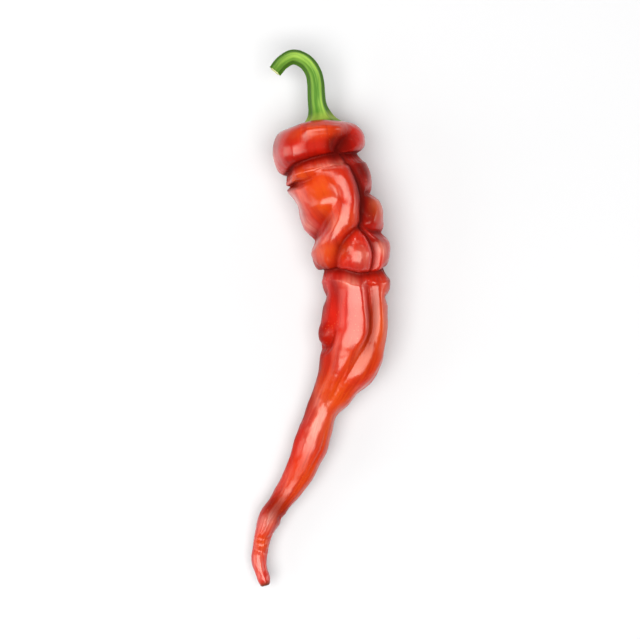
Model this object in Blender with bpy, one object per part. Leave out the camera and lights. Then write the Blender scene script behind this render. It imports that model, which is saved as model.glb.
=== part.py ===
# A long sweet frying pepper, picked and laid down on its side.
# It has two grown pieces: the red pod, and the green stalk that widens into the calyx on its crown.
# Metres, +Z up, resting on z = 0. The stalk points to +Y and the tip of the pod to -Y.
#
# A place on the pod is given by two numbers: how far along it lies from the crown, in mm, and
# its turn in degrees round the middle line: 0 on top, 90 on the side towards +X, 180 underneath.

import math

import bpy
import numpy as np

MM = 0.001

# The middle line of the pod, from the crown to the tip.
POD_ROUTE = np.array((
    (-2.3, 80.8, 17.8),
    (-0.9, 71.0, 17.4),
    (1.4, 61.0, 17.4),
    (5.6, 50.0, 17.4),
    (12.0, 32.0, 16.4),
    (14.3, 14.0, 14.1),
    (13.2, -4.0, 12.9),
    (10.1, -18.5, 12.0),
    (6.0, -28.0, 11.0),
    (1.0, -37.5, 10.2),
    (-4.4, -53.0, 9.6),
    (-12.2, -69.0, 9.0),
    (-20.6, -81.5, 8.3),
    (-24.4, -92.5, 7.5),
    (-25.0, -100.0, 7.6),
    (-22.3, -109.3, 8.8),
)) * MM

# The girth of the pod: how far along, and the radius there. The crown is dished for the calyx,
# and the dish sits a little to the right of the middle line.
POD_GIRTH = np.array((
    (3.8, 0.0),
    (3.5, 3.6),
    (2.9, 6.2),
    (2.1, 8.4),
    (1.5, 10.4),
    (1.4, 12.0),
    (2.0, 14.0),
    (3.6, 16.2),
    (6.6, 17.7),
    (10.5, 18.3),
    (15.0, 17.9),
    (21.0, 16.9),
    (30.0, 16.8),
    (41.0, 16.2),
    (51.0, 15.3),
    (59.0, 14.8),
    (66.0, 13.4),
    (75.0, 12.8),
    (87.0, 13.2),
    (95.0, 12.0),
    (103.0, 10.6),
    (112.0, 8.8),
    (122.0, 7.2),
    (131.0, 7.1),
    (141.0, 6.9),
    (150.0, 6.3),
    (158.0, 5.6),
    (166.0, 5.0),
    (174.0, 4.5),
    (181.0, 3.8),
    (188.0, 3.2),
    (195.0, 2.9),
    (199.5, 2.7),
    (201.5, 1.8),
    (202.0, 0.0),
)) * MM
DISH_SHIFT = 2.4 * MM
DISH_REACH = 17.0 * MM

# Each crease: its half width, how hard it is pinched (0 is a soft valley, 1 a sharp fold), how
# far its upper lip leans over it, and its course as (along, turn, depth).
CREASES = (
    # The lip under the rolled cap, all the way round.
    (5.4, 1.0, 0.9, (
        (18.2, -90, 4.0), (17.4, -64, 4.0), (15.8, -36, 3.8), (15.4, -8, 3.6), (15.4, 18, 4.0),
        (16.5, 45, 4.0), (16.5, 90, 3.6), (17.5, 130, 2.8), (18.5, 180, 2.6), (19.0, 225, 3.2),
        (18.2, 270, 4.0),
    )),
    # The dark hollow that parts the small right lobe from the cap.
    (6.6, 0.5, 0.0, ((4.6, 70, 0.8), (7.5, 56, 3.0), (10.5, 42, 4.4), (13.0, 30, 4.8), (15.6, 22, 3.6))),
    # The pinch on the left, under the neck.
    (3.1, 0.9, 0.6, (
        (22.0, -134, 0.0), (21.2, -110, 2.6), (20.9, -88, 4.2), (21.6, -60, 3.2), (22.4, -38, 2.2),
        (22.4, -20, 1.2), (21.8, -4, 0.2),
    )),
    # Thin pleats on the neck.
    (2.2, 0.7, 0.3, ((20.6, -12, 0.3), (20.2, 3, 1.1), (19.7, 17, 1.2), (19.0, 28, 0.8))),
    (1.8, 0.7, 0.0, ((18.4, -16, 0.3), (18.0, 0, 0.9), (17.6, 14, 0.6))),
    # The long fold between the main roll and the knobs on the right.
    (6.4, 0.7, 0.0, (
        (16.6, 34, 3.2), (23.0, 40, 3.2), (30.0, 43, 4.2), (36.0, 42, 5.0), (41.5, 34, 4.6),
        (45.5, 22, 3.6),
    )),
    # It forks round the middle knob.
    (4.4, 0.8, 0.3, ((45.5, 22, 3.4), (47.0, 6, 3.0), (50.0, -12, 2.8), (55.0, -27, 2.6), (59.4, -36, 2.6))),
    (4.0, 0.8, 0.0, ((45.5, 22, 3.4), (49.3, 32, 3.2), (54.4, 39, 3.2), (58.5, 37, 3.0), (63.0, 28, 3.0))),
    # Between the knobs down the right side, and on round the back.
    (4.8, 0.9, 0.5, (
        (35.6, 44, 2.6), (34.8, 60, 3.0), (35.4, 84, 2.9), (37.0, 110, 2.6), (39.0, 136, 1.4),
    )),
    (4.6, 0.9, 0.5, (
        (45.6, 28, 2.4), (48.6, 43, 3.0), (49.8, 62, 3.2), (50.5, 86, 2.7), (51.0, 112, 2.2),
        (50.0, 140, 0.8),
    )),
    # The hollow across the left flank, above the slanting end of the roll.
    (6.0, 0.4, 0.2, (
        (34.0, 2, 0.2), (37.6, -20, 2.0), (41.0, -44, 2.6), (44.6, -74, 3.4), (46.0, -92, 3.2),
        (48.5, -116, 1.8), (51.0, -142, 1.0),
    )),
    # The waist.
    (5.4, 1.0, 0.9, (
        (60.0, -150, 1.2), (60.6, -118, 2.6), (61.4, -90, 3.8), (60.2, -60, 3.6), (59.8, -36, 3.6),
        (61.0, -16, 3.4), (62.8, 5, 3.6), (63.2, 26, 3.4), (63.4, 46, 3.2), (62.6, 66, 3.4),
        (63.2, 90, 2.9), (62.4, 118, 2.4), (60.0, 150, 1.0),
    )),
    # Below the last knob on the right.
    (4.0, 0.8, 0.3, ((72.8, 54, 0.0), (73.6, 74, 2.0), (74.2, 94, 2.2), (75.5, 124, 0.0))),
    # The soft valley down the lower body.
    (6.0, 0.2, 0.0, (
        (64.0, 20, 1.6), (70.0, 26, 2.2), (76.0, 30, 2.4), (83.0, 36, 2.6), (88.5, 36, 2.4),
        (93.0, 28, 2.2), (97.0, 20, 2.0), (103.0, 12, 1.6), (108.0, 11, 1.2), (116.0, 16, 0.0),
    )),
    # Round the small knob on the left.
    (3.6, 0.7, 0.2, (
        (81.0, -42, 0.0), (86.0, -37, 1.0), (91.0, -37, 2.0), (94.6, -45, 2.5), (96.6, -60, 2.4),
        (97.4, -80, 2.0), (97.0, -108, 0.0),
    )),
    # The narrow place above the tail.
    (6.0, 0.0, 0.0, (
        (121.0, 62, 0.8), (123.5, 90, 0.8), (126.0, 180, 0.3), (127.0, 250, 0.7), (127.0, 300, 0.5),
    )),
    # Small nicks in the tail.
    (2.8, 0.7, 0.3, ((169.0, 24, 0.0), (170.0, 58, 1.0), (170.4, 92, 1.0), (170.0, 130, 0.0))),
    (2.4, 0.7, 0.3, ((182.4, -60, 0.0), (181.4, 0, 0.6), (180.2, 60, 0.7), (180.0, 120, 0.0))),
    (2.4, 0.7, 0.3, ((186.4, -110, 0.0), (186.2, -40, 0.7), (186.6, 20, 0.6), (187.0, 90, 0.0))),
    # Grooves between the lobes of the crown. The cap lies on the two lobes beside the lowest one.
    (9.0, 0.2, 0.0, (
        (1.2, 180, 1.2), (5.0, 180, 2.4), (12.0, 179, 3.0), (20.0, 178, 2.4), (28.0, 176, 1.4),
    )),
    (8.0, 0.1, 0.0, ((1.0, -104, 1.2), (4.0, -106, 1.8), (9.0, -110, 1.4), (14.0, -114, 0.8))),
    (8.0, 0.1, 0.0, ((1.0, 112, 1.2), (4.0, 114, 1.6), (9.0, 116, 1.2), (14.0, 118, 0.6))),
    # Folds on the underside.
    (5.4, 0.9, 0.3, (
        (25.6, -112, 0.0), (28.0, -138, 2.0), (31.0, -162, 2.4), (34.0, -186, 2.2), (37.5, -208, 1.6),
        (39.0, -224, 1.4),
    )),
    (5.0, 0.9, 0.3, ((51.0, -142, 1.0), (50.0, -165, 2.0), (49.0, -190, 1.8), (50.0, -220, 0.8))),
    (6.0, 0.0, 0.0, (
        (66.0, -126, 0.0), (76.0, -132, 1.6), (90.0, -136, 1.6), (104.0, -130, 1.2), (118.0, -120, 0.0),
    )),
    (4.8, 0.8, 0.2, ((76.5, 118, 0.0), (79.0, 142, 1.5), (83.0, 162, 1.4), (88.0, 182, 0.0))),
    (4.8, 0.6, 0.2, ((100.0, 84, 0.0), (103.5, 112, 1.2), (105.0, 138, 1.2), (105.0, 168, 0.0))),
    (4.4, 0.6, 0.2, (
        (70.0, -58, 0.0), (73.0, -76, 1.2), (75.0, -98, 1.6), (75.0, -120, 1.0), (74.0, -138, 0.0),
    )),
)

# Each ridge: its half width, and its course as (along, turn, height).
RIDGES = (
    # The main roll, down the front and round to the left above the waist.
    (8.0, (
        (18.0, 12, 0.3), (24.0, 18, 1.8), (30.0, 24, 2.4), (36.0, 20, 2.4), (41.0, 9, 2.2),
        (45.5, -10, 2.0), (50.0, -30, 2.0), (53.5, -52, 2.0), (55.0, -80, 1.6), (56.0, -104, 0.6),
    )),
    # The lump on the left flank.
    (7.5, ((21.5, -84, 1.0), (25.0, -72, 0.6), (30.0, -58, 0.6), (35.0, -56, 0.0))),
    # The two long crests of the lower body.
    (7.0, (
        (64.5, -6, 1.0), (73.0, -4, 1.6), (81.0, 4, 1.6), (87.0, 8, 1.5), (94.0, 0, 1.3),
        (102.0, -9, 1.0), (111.0, -13, 0.7), (119.0, -12, 0.2),
    )),
    (6.0, (
        (67.0, 52, 0.8), (77.0, 58, 1.3), (86.0, 57, 1.4), (93.0, 49, 1.4), (100.0, 40, 1.2),
        (108.0, 33, 0.9), (117.0, 32, 0.3),
    )),
)

# Each swell: along, turn, half length, half width and height.
SWELLS = (
    # The cap's left shoulder, the front of its crown and its small right lobe.
    (12.0, -60, 8.5, 15.0, 0.9),
    (2.0, 0, 4.5, 8.0, 1.8),
    (9.0, 84, 6.0, 6.0, 0.9),
    # The slant of the left flank, down from the pinch.
    (29.0, -86, 5.5, 10.0, -1.8),
    # The two lobes under the cap.
    (10.5, 144, 8.0, 7.0, 1.8),
    (11.0, -144, 8.0, 7.0, 1.8),
    # Four knobs down the right and one in the middle.
    (27.0, 74, 5.5, 6.0, 0.5),
    (43.0, 69, 5.0, 6.0, 1.2),
    (56.5, 66, 4.5, 5.5, 1.2),
    (68.5, 68, 4.5, 5.0, 1.2),
    (56.0, 9, 5.0, 5.5, 1.9),
    # The small knob on the left of the lower body, and the low place that the body lies on.
    (90.6, -62, 5.0, 4.2, 1.6),
    (89.0, -163, 10.0, 6.0, 1.0),
    # The hip on the right, where the lower body narrows.
    (99.5, 82, 11.5, 8.0, 3.1),
    # Beads down the tail.
    (136.0, -10, 9.0, 6.0, 0.3),
    (176.0, 10, 4.0, 3.5, 0.4),
    (184.2, 0, 1.8, 2.6, 0.3),
    (191.0, -20, 3.5, 2.6, 0.3),
)
CREASE_STEP = 0.7 * MM
CREASE_ROUND = 0.25 * MM
RIPPLE_HEIGHT = 0.22 * MM
RIPPLE_LENGTHS = (11.0 * MM, 14.0 * MM, 18.0 * MM, 24.0 * MM, 32.0 * MM)
RIPPLE_SEED = 7

# The stalk's middle line above the calyx, to its cut end.
STALK_ROUTE = np.array((
    (-1.2, 88.0, 18.2),
    (-1.5, 92.0, 18.6),
    (-1.7, 96.0, 19.1),
    (-2.8, 100.4, 19.8),
    (-6.2, 104.7, 20.7),
    (-11.0, 106.3, 21.4),
    (-15.2, 104.0, 21.9),
    (-18.2, 100.4, 22.2),
)) * MM
CALYX_RADIUS = 8.3 * MM
CALYX_EDGE = 0.7 * MM
CALYX_TEETH = 6
TOOTH_LENGTH = 1.0 * MM
# The calyx's flare: height over the crown, and radius.
CALYX_FLARE = np.array((
    (0.0, 8.3),
    (0.7, 7.4),
    (1.8, 6.4),
    (3.4, 5.3),
    (5.4, 4.4),
    (7.6, 3.7),
)) * MM
STALK_BASE_RADIUS = 3.4 * MM
STALK_END_RADIUS = 2.5 * MM
STALK_RIBS = 6
RIB_DEPTH = 0.3 * MM
CUT_HOLLOW = 0.3 * MM
PIECE_GAP = 0.4 * MM

FINE_RINGS = 300
FINE_SIDES = 140
POD_TRIANGLES = 9600
STALK_RINGS = 34
STALK_SIDES = 30


def smooth(points, at, where):
    """Points of a smooth curve through the rows of points, which lie at the distances at."""
    slope = np.gradient(points, at, axis=0)
    i = np.clip(np.searchsorted(at, where, side="right") - 1, 0, len(at) - 2)
    step = (at[i + 1] - at[i])[:, None]
    u = (where - at[i])[:, None] / step
    return (
        (2 * u**3 - 3 * u**2 + 1) * points[i]
        + (u**3 - 2 * u**2 + u) * step * slope[i]
        + (3 * u**2 - 2 * u**3) * points[i + 1]
        + (u**3 - u**2) * step * slope[i + 1]
    )


def distances(points):
    """How far along its own polyline each point lies."""
    return np.concatenate(([0.0], np.cumsum(np.linalg.norm(np.diff(points, axis=0), axis=1))))


def unit(vectors):
    return vectors / np.linalg.norm(vectors, axis=1)[:, None]


def route_frame(route, along):
    """Place, tangent, up and side of a route at the distances along."""
    at = distances(route)
    reach = 3.0 * MM
    place = smooth(route, at, np.clip(along, 0.0, at[-1]))
    ahead = smooth(route, at, np.clip(along + reach, 0.0, at[-1]))
    behind = smooth(route, at, np.clip(along - reach, 0.0, at[-1]))
    tangent = unit(ahead - behind)
    up = unit(np.array((0.0, 0.0, 1.0)) - tangent[:, 2:3] * tangent)
    side = np.cross(up, tangent)
    return place, tangent, up, side


def base_skin(station, turn):
    """The pod before its folds. A station is a distance along the turned outline from the crown."""
    at = distances(POD_GIRTH)
    along, radius = smooth(POD_GIRTH, at, station).T
    bit = 0.1 * MM
    rise, widen = unit(smooth(POD_GIRTH, at, station + bit) - smooth(POD_GIRTH, at, station - bit)).T
    place, tangent, up, side = route_frame(POD_ROUTE, along)
    out = np.cos(turn)[:, None] * up + np.sin(turn)[:, None] * side
    shift = DISH_SHIFT * np.clip(1.0 - station / DISH_REACH, 0.0, 1.0) ** 2
    point = place + radius[:, None] * out + shift[:, None] * side
    normal = rise[:, None] * out - widen[:, None] * tangent
    return point, normal, tangent


def stations_along(along):
    """The stations, outside the crown's rim, that lie at the distances along."""
    at = distances(POD_GIRTH)
    fine = np.linspace(at[4], at[-1], 1200)
    return np.interp(along, smooth(POD_GIRTH, at, fine)[:, 0], fine)


def place_on_skin(along, turn):
    return base_skin(stations_along(np.atleast_1d(along)), np.atleast_1d(turn))


def crease_points(course):
    """A crease's course as close-set points on the skin, each with its depth."""
    course = np.array(course) * (MM, math.pi / 180.0, MM)
    knots = place_on_skin(course[:, 0], course[:, 1])[0]
    at = distances(knots)
    where = np.linspace(0.0, at[-1], max(2, round(at[-1] / CREASE_STEP)))
    along, turn, depth = smooth(course, at, where).T
    return place_on_skin(along, turn)[0], np.maximum(depth, 0.0)


def nearest(points, line):
    """Distance from each point to the nearest point of the line, and which one that is."""
    apart = np.linalg.norm(points[:, None, :] - line[None, :, :], axis=2)
    which = np.argmin(apart, axis=1)
    return apart[np.arange(len(points)), which], which


def close_to(points, line, reach):
    """Which points lie within reach of the line's bounding box."""
    return np.all((points > line.min(axis=0) - reach) & (points < line.max(axis=0) + reach), axis=1)


def crease_depth(points):
    """How deep the creases press each point in, and how far they draw it towards the tip."""
    press = np.zeros(len(points))
    draw = np.zeros(len(points))
    for half_width, pinch, lean, course in CREASES:
        line, depth = crease_points(course)
        near = np.flatnonzero(close_to(points, line, half_width * MM))
        apart, which = nearest(points[near], line)
        u = np.minimum(np.hypot(apart, CREASE_ROUND) / (half_width * MM), 1.0)
        shape = (1.0 - pinch) * (1.0 - u**2) ** 2 + pinch * (1.0 - u) ** 2.4
        press[near] += (depth[which] * shape) ** 4
        draw[near] += lean * depth[which] * (1.0 - shape) * (1.0 - u)
    return press**0.25, draw


def swell_height(points):
    """How far the ridges and swells lift each point."""
    lift = np.zeros(len(points))
    for half_width, course in RIDGES:
        line, height = crease_points(course)
        near = np.flatnonzero(close_to(points, line, half_width * MM))
        apart, which = nearest(points[near], line)
        u = np.minimum(apart / (half_width * MM), 1.0)
        lift[near] = np.maximum(lift[near], height[which] * (1.0 - u**2) ** 2)
    for along, turn, half_length, half_width, height in SWELLS:
        centre, _, tangent = place_on_skin(along * MM, math.radians(turn))
        apart = points - centre
        lengthwise = apart @ tangent[0]
        across = np.sqrt(np.maximum(np.sum(apart**2, axis=1) - lengthwise**2, 0.0))
        rho = (lengthwise / (half_length * MM)) ** 2 + (across / (half_width * MM)) ** 2
        lift += height * MM * np.exp(-1.2 * rho)
    return lift


def ripple_height(points):
    """The slight unevenness of a grown skin."""
    rng = np.random.default_rng(RIPPLE_SEED)
    height = np.zeros(len(points))
    for length in RIPPLE_LENGTHS:
        for _ in range(2):
            heading = unit(rng.normal(size=(1, 3)))[0]
            height += np.sin(points @ heading * (2.0 * math.pi / length) + rng.uniform(0.0, 2.0 * math.pi))
    return RIPPLE_HEIGHT * height / math.sqrt(len(RIPPLE_LENGTHS))


def pod_skin(station, turn):
    """The pod's finished skin, lying on z = 0."""
    base, normal, tangent = base_skin(station, turn)
    press, draw = crease_depth(base)
    rise = swell_height(base) + ripple_height(base) - press
    point = base + rise[:, None] * normal + draw[:, None] * tangent
    point[:, 2] = np.maximum(point[:, 2], 0.0)
    return point


def ring_mesh(name, start, rings, end):
    """A closed mesh from a start point, rings of points and an end point."""
    count, sides = rings.shape[:2]
    verts = np.vstack((start[None, :], rings.reshape(-1, 3), end[None, :]))
    last = len(verts) - 1

    def at(ring, side):
        return 1 + ring * sides + side % sides

    faces = []
    for side in range(sides):
        faces.append((0, at(0, side), at(0, side + 1)))
        for ring in range(count - 1):
            faces.append((at(ring, side), at(ring + 1, side), at(ring + 1, side + 1), at(ring, side + 1)))
        faces.append((at(count - 1, side), last, at(count - 1, side + 1)))
    mesh = bpy.data.meshes.new(name)
    mesh.from_pydata(verts.tolist(), [], faces)
    mesh.validate()
    mesh.shade_smooth()
    return mesh


def add_object(name, mesh, material):
    mesh.materials.append(material)
    thing = bpy.data.objects.new(name, mesh)
    bpy.context.collection.objects.link(thing)
    return thing


def plain_material(name, colour, roughness):
    material = bpy.data.materials.new(name)
    material.use_nodes = True
    shader = material.node_tree.nodes["Principled BSDF"]
    shader.inputs["Base Color"].default_value = (*colour, 1.0)
    shader.inputs["Roughness"].default_value = roughness
    shader.inputs["Metallic"].default_value = 0.0
    return material


def build_pod():
    total = distances(POD_GIRTH)[-1]
    station = np.linspace(0.0, total, FINE_RINGS + 2)
    turn = np.linspace(0.0, 2.0 * math.pi, FINE_SIDES, endpoint=False)
    stations, turns = np.meshgrid(station, turn, indexing="ij")
    grid = pod_skin(stations.ravel(), turns.ravel()).reshape(FINE_RINGS + 2, FINE_SIDES, 3)
    mesh = ring_mesh("pod", grid[0, 0], grid[1:-1], grid[-1, 0])
    pod = add_object("pod", mesh, plain_material("red skin", (0.62, 0.015, 0.008), 0.3))
    fewer = pod.modifiers.new("Decimate", "DECIMATE")
    fewer.ratio = POD_TRIANGLES / (2.0 * FINE_RINGS * FINE_SIDES)
    return pod


def tooth(turn):
    """How far the calyx's edge reaches out at each turn: a few short, pointed teeth."""
    wave = 0.5 + 0.5 * np.cos(CALYX_TEETH * turn)
    return CALYX_RADIUS + TOOTH_LENGTH * (wave**2 - 0.3)


def build_stalk():
    """The calyx lies on the crown, flares up into the stalk, and the stalk hooks over to its cut."""
    sides = STALK_SIDES
    turn = np.linspace(0.0, 2.0 * math.pi, sides, endpoint=False)
    axis = -route_frame(POD_ROUTE, np.zeros(1))[1][0]
    ridge = np.cos(STALK_RIBS * turn)

    def on_crown(radius, lift):
        station = np.broadcast_to(radius, (sides,)) * 1.04
        return pod_skin(station, turn) + lift * axis

    underside = [on_crown(tooth(turn) * share, PIECE_GAP) for share in (0.2, 0.4, 0.6, 0.8, 0.93, 1.0)]
    edge = on_crown(tooth(turn) + 0.2 * MM, PIECE_GAP + 0.5 * CALYX_EDGE)
    upper = []
    for height, radius in CALYX_FLARE:
        share = (radius - CALYX_FLARE[-1, 1]) / (CALYX_FLARE[0, 1] - CALYX_FLARE[-1, 1])
        reach = radius + share * (tooth(turn) - CALYX_RADIUS) + (1.0 - share) * RIB_DEPTH * ridge
        upper.append(on_crown(reach, PIECE_GAP + CALYX_EDGE + height))
    at = distances(STALK_ROUTE)
    along = np.linspace(0.0, at[-1], STALK_RINGS)
    place, tangent, up, side = route_frame(STALK_ROUTE, along)
    radius = STALK_BASE_RADIUS + (STALK_END_RADIUS - STALK_BASE_RADIUS) * along / at[-1]
    stalk = []
    for i in range(STALK_RINGS):
        out = np.cos(turn)[:, None] * up[i] - np.sin(turn)[:, None] * side[i]
        stalk.append(place[i] + (radius[i] + RIB_DEPTH * ridge)[:, None] * out)
    rings = np.array(underside + [edge] + upper + stalk)[::-1]
    cut = place[-1] - CUT_HOLLOW * tangent[-1]
    seat = pod_skin(np.zeros(1), np.zeros(1))[0] + PIECE_GAP * axis
    mesh = ring_mesh("calyx_and_stalk", cut, rings, seat)
    return add_object("calyx_and_stalk", mesh, plain_material("green stalk", (0.13, 0.28, 0.05), 0.45))


def main():
    for thing in list(bpy.data.objects):
        bpy.data.objects.remove(thing)
    build_pod()
    build_stalk()


main()
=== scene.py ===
import math

import bmesh
import bpy
import numpy as np
from mathutils import Matrix, Vector


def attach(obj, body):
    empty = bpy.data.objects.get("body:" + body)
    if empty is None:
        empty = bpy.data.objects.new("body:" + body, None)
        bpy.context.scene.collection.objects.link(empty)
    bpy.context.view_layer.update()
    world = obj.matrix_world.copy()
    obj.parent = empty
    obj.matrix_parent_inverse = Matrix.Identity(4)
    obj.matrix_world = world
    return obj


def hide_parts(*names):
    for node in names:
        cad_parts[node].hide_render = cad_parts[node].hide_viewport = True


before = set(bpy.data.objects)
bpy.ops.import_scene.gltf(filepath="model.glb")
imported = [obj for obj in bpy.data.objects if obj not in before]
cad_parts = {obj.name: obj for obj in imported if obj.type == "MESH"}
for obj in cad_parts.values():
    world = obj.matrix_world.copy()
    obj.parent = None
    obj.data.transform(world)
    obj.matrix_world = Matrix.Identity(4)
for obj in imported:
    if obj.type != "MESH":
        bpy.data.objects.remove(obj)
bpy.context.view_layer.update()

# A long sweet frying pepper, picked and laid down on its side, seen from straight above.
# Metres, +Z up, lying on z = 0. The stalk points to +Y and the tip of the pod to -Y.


# Table, light and camera
# The pepper lies on a wide table top with a pale, matt finish. One large, warm softbox hangs over
# it, and smaller ones stand low to the left, to the right and beyond the stalk, under a dim sky
# that is paler low down. The camera hangs straight above.

MM = 0.001
TABLE_WIDTH = 6.0
TABLE_WHITE = (0.548, 0.576, 0.660)
TABLE_SHADE = (0.528, 0.556, 0.640)
SKY_LOW = (0.29, 0.28, 0.265)
SKY_HIGH = (0.06, 0.06, 0.06)
# Where the sky turns from the one to the other: 0 is level, 1 straight up.
SKY_TURNS = (0.1, 0.7)
# Each softbox: how far it leans from straight up to the right and to the stalk end in degrees,
# how far off it is, its length in line with the pepper and its width across it, and its glow.
SOFTBOXES = (
    ("key softbox", -5.0, -9.0, 1.5, 1.15, 1.75, 7.2),
    ("low left softbox", -70.0, -15.0, 1.5, 0.8, 1.1, 3.0),
    ("low right softbox", 76.0, 10.0, 1.5, 0.6, 0.5, 4.5),
    ("far softbox", 4.0, 60.0, 1.5, 0.12, 2.2, 6.5),
)
LAMP_COLOUR = (1.0, 0.95, 0.83)
CAMERA_HEIGHT = 0.885
CAMERA_LENS = 120.0


def fill_sockets(tree, node, sockets):
    """Fills a node's inputs, by name or number: each with a value, or with an output to link."""
    for key, value in sockets.items():
        if isinstance(value, bpy.types.NodeSocket):
            tree.links.new(value, node.inputs[key])
        else:
            node.inputs[key].default_value = value


def add_node(tree, kind, sockets=None, **settings):
    node = tree.nodes.new(kind)
    for name, value in settings.items():
        setattr(node, name, value)
    fill_sockets(tree, node, sockets or {})
    return node


def mix_colour(tree, share, first, second):
    """The first colour, and the second where share is 1."""
    colours = [c if isinstance(c, bpy.types.NodeSocket) else (*c, 1.0) for c in (first, second)]
    node = add_node(tree, "ShaderNodeMix", {0: share, 6: colours[0], 7: colours[1]}, data_type="RGBA")
    return node.outputs[2]


def spread(tree, value, low, high, to_low=0.0, to_high=1.0, **settings):
    """A value stretched from the range low to high over the range to_low to to_high."""
    sockets = {0: value, 1: low, 2: high, 3: to_low, 4: to_high}
    return add_node(tree, "ShaderNodeMapRange", sockets, **settings).outputs[0]


def even_noise(tree, place, scale, detail):
    """Noise from 0 to 1. Scale is how many of its cells go to a metre."""
    sockets = {"Vector": place, "Scale": scale, "Detail": detail}
    return add_node(tree, "ShaderNodeTexNoise", sockets).outputs["Fac"]


def low_relief(tree, height, strength, distance):
    """The normal of a relief too fine for the mesh."""
    sockets = {"Height": height, "Strength": strength, "Distance": distance}
    return add_node(tree, "ShaderNodeBump", sockets).outputs["Normal"]


def link_object(name, data):
    data.name = name
    thing = bpy.data.objects.new(name, data)
    bpy.context.collection.objects.link(thing)
    return thing


def new_material(name):
    """A node material, its tree and its shader."""
    material = bpy.data.materials.new(name)
    material.use_nodes = True
    return material, material.node_tree, material.node_tree.nodes["Principled BSDF"]


table_paint, tree, shader = new_material("matt white table")
place = add_node(tree, "ShaderNodeTexCoord").outputs["Object"]
fill_sockets(tree, shader, {
    "Base Color": mix_colour(tree, even_noise(tree, place, 5.0, 3.0), TABLE_WHITE, TABLE_SHADE),
    "Roughness": 0.8,
    "Normal": low_relief(tree, even_noise(tree, place, 900.0, 2.0), 0.08, 0.1 * MM),
})

half = TABLE_WIDTH / 2
table_mesh = bpy.data.meshes.new("table top")
table_mesh.from_pydata(
    [(-half, -half, 0.0), (half, -half, 0.0), (half, half, 0.0), (-half, half, 0.0)], [], [(0, 1, 2, 3)]
)
table_mesh.materials.append(table_paint)
table_top = link_object("table top", table_mesh)

for name, right, far, distance, length, width, glow in SOFTBOXES:
    lamp = bpy.data.lights.new(name, "AREA")
    lamp.shape = "RECTANGLE"
    lamp.size, lamp.size_y = length, width
    lamp.energy = glow * math.pi * length * width
    lamp.color = LAMP_COLOUR
    softbox = link_object(name, lamp)
    away = Vector((math.tan(math.radians(right)), math.tan(math.radians(far)), 1.0)).normalized()
    softbox.location = away * distance
    across = Vector((0.0, 1.0, 0.0)).cross(away).normalized()
    softbox.rotation_euler = Matrix((away.cross(across), -across, away)).transposed().to_euler()
    softbox.visible_camera = False

sky = bpy.data.worlds.new("pale sky")
sky.use_nodes = True
tree = sky.node_tree
direction = add_node(tree, "ShaderNodeTexCoord").outputs["Generated"]
height = add_node(tree, "ShaderNodeSeparateXYZ", {0: direction}).outputs["Z"]
sky_colour = mix_colour(tree, spread(tree, height, *SKY_TURNS), SKY_LOW, SKY_HIGH)
fill_sockets(tree, tree.nodes["Background"], {"Color": sky_colour})
bpy.context.scene.world = sky
bpy.context.scene.view_settings.view_transform = "Standard"

camera = link_object("camera", bpy.data.cameras.new("camera"))
camera.data.lens = CAMERA_LENS
camera.location = (0.0, 0.0, CAMERA_HEIGHT)
bpy.context.scene.camera = camera


# The pod
# The pod is one grown piece: a thin, waxy red skin round an air space. It narrows from a rolled
# crown to a thin crooked tail, and its right side grew less than its left, which crumpled it into
# folds and knobs.

# A place on the pod is given by how far along it lies from the crown, in mm, and by its turn in
# degrees round the middle line: 0 on top, 90 on the side towards +X, 180 underneath.

# The middle line, from the crown to the tip.
POD_ROUTE = np.array((
    (-2.3, 80.8, 17.8), (-0.9, 71.0, 17.4), (1.4, 61.0, 17.4), (5.6, 50.0, 17.4),
    (12.0, 32.0, 16.4), (14.3, 14.0, 14.1), (13.2, -4.0, 12.9), (10.1, -18.5, 12.0),
    (6.0, -28.0, 11.0), (1.0, -37.5, 10.2), (-4.4, -53.0, 9.6), (-12.2, -69.0, 9.0),
    (-20.6, -81.5, 8.3), (-24.4, -92.5, 7.5), (-25.0, -100.0, 7.6), (-22.3, -109.3, 8.8),
)) * MM

# The girth: how far along, and the radius there. The crown is dished for the calyx, and the dish
# sits a little to the right of the middle line. Its rim is the row numbered RIM_ROW.
POD_GIRTH = np.array((
    (3.8, 0.0), (3.5, 3.6), (2.9, 6.2), (2.1, 8.4), (1.5, 10.4), (1.4, 12.0), (2.0, 14.0),
    (3.6, 16.2), (6.6, 17.7), (10.5, 18.3), (15.0, 17.9), (21.0, 16.9), (30.0, 16.8), (41.0, 16.2),
    (51.0, 15.3), (59.0, 14.8), (66.0, 13.4), (75.0, 12.8), (87.0, 13.2), (95.0, 12.0), (103.0, 10.6),
    (112.0, 8.8), (122.0, 7.2), (131.0, 7.1), (141.0, 6.9), (150.0, 6.3), (158.0, 5.6), (166.0, 5.0),
    (174.0, 4.5), (181.0, 3.8), (188.0, 3.2), (195.0, 2.9), (199.5, 2.7), (201.5, 1.8), (202.0, 0.0),
)) * MM
RIM_ROW = 4
DISH_SHIFT = 2.4 * MM
DISH_REACH = 17.0 * MM

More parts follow.
